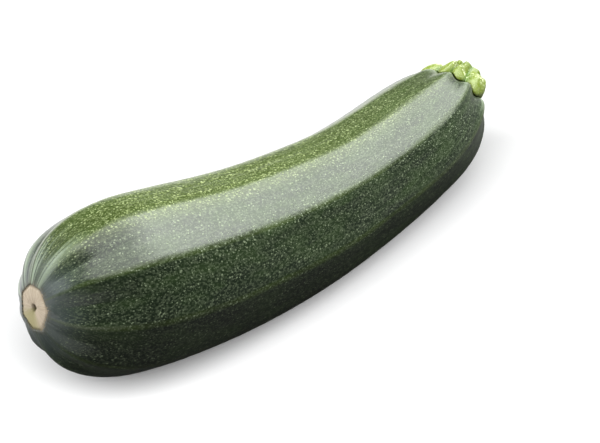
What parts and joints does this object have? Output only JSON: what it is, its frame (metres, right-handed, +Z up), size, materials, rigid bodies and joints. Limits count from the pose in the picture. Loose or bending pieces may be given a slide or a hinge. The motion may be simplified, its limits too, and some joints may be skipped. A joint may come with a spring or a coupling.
{
  "type": "zucchini",
  "caption": "Whole green zucchini lying on a flat spot: a slightly bent ribbed fruit with a blossom scar at its thick end and a star-shaped cut stem at its slim end.",
  "frame": {"origin": "on the table, under the middle of the object's bounding box", "axes": "+X from the blossom end to the stem end, +Z up, +Y to the side that the inside of the bend faces"},
  "size_m": [0.1938, 0.0548, 0.0537],
  "materials": {
    "fruit_skin": "waxy dark green skin with pale green speckles, tan and fibrous at the blossom scar",
    "stem_flesh": "satin yellow-green stem with a pale speckled fringe and a pale cut"
  },
  "bodies": {
    "root": {"fruit": "fruit_skin", "stem": "stem_flesh"}
  },
  "joints": []
}
